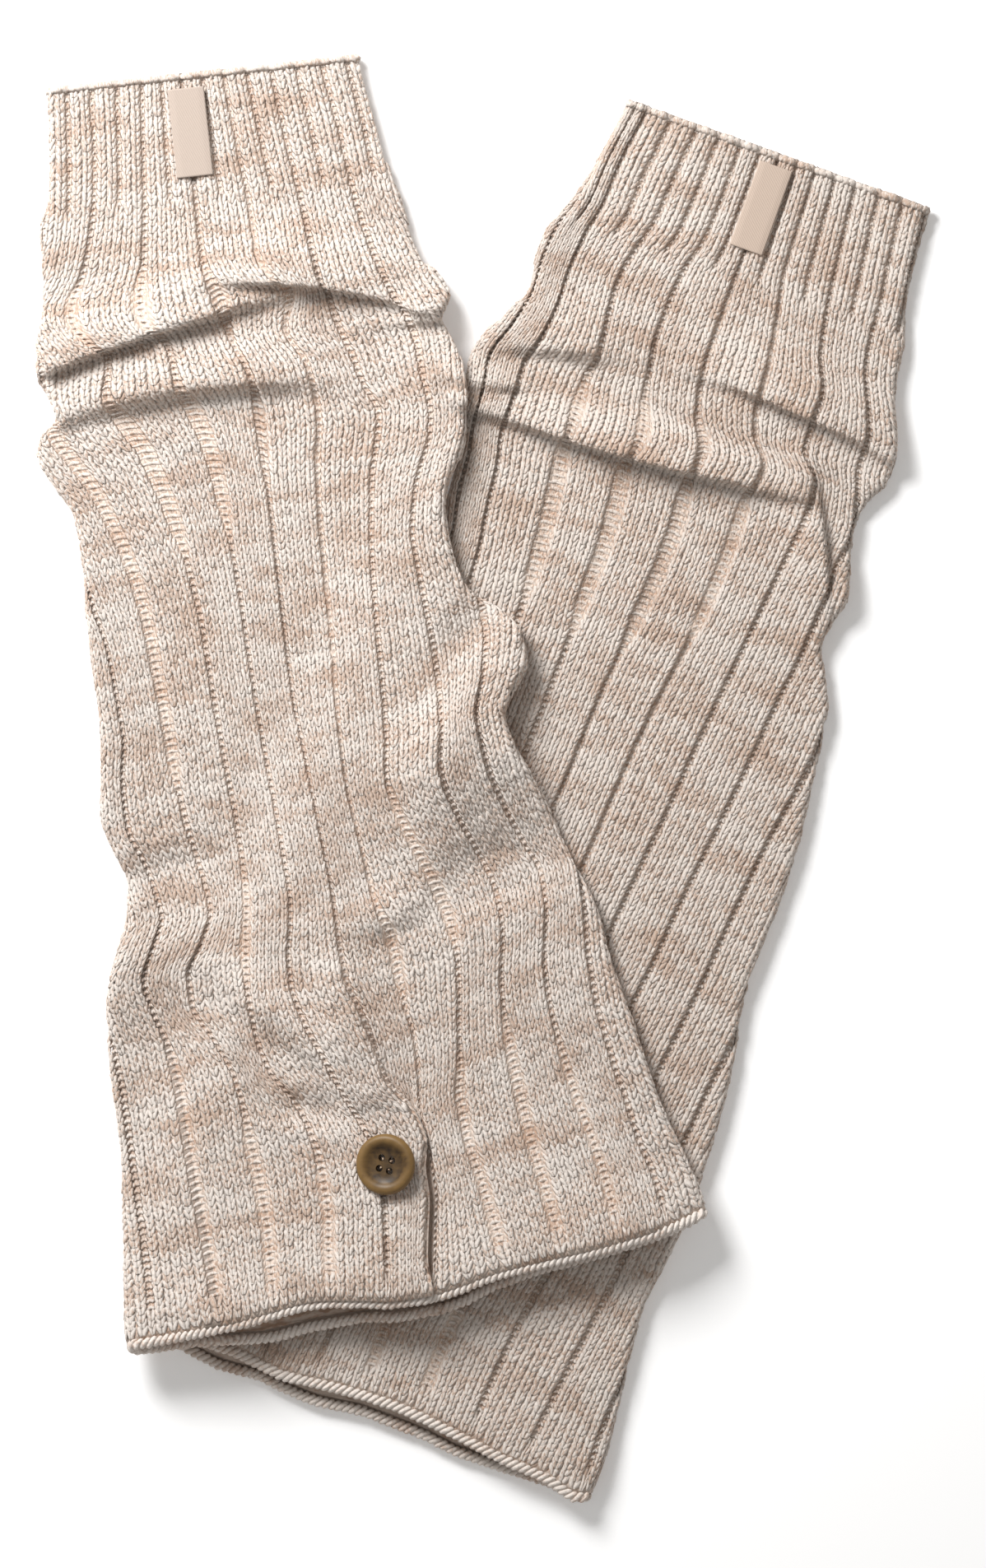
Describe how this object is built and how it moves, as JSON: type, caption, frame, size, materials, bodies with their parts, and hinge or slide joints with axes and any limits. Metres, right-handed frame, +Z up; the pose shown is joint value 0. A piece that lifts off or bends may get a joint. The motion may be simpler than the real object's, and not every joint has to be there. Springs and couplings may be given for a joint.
{
  "type": "pair of knitted leg warmers",
  "caption": "Pair of ribbed knit leg warmers laid flat, one over the other, with finely ribbed cuffs, soft folds at the ankle and a buttoned opening at the rolled hem.",
  "frame": {"origin": "middle of the pair's box, on the surface it lies on", "axes": "+Y towards the cuffs, along the length of the pair; +X to the right as it lies; +Z up from the surface, out of the front of the cloth"},
  "size_m": [0.2922, 0.4758, 0.0232],
  "materials": {
    "knit": "soft marled rib knit in cream and pinkish beige",
    "horn": "dark horn brown with a lighter raised rim, satin polish",
    "tape": "plain pale peach woven tape"
  },
  "bodies": {
    "root": {"left_cuff": "knit", "left_body": "knit", "left_hem_roll": "knit", "left_flap": "knit", "left_button": "horn", "left_label": "tape", "right_cuff": "knit", "right_body": "knit", "right_hem_roll": "knit", "right_label": "tape"}
  },
  "joints": []
}
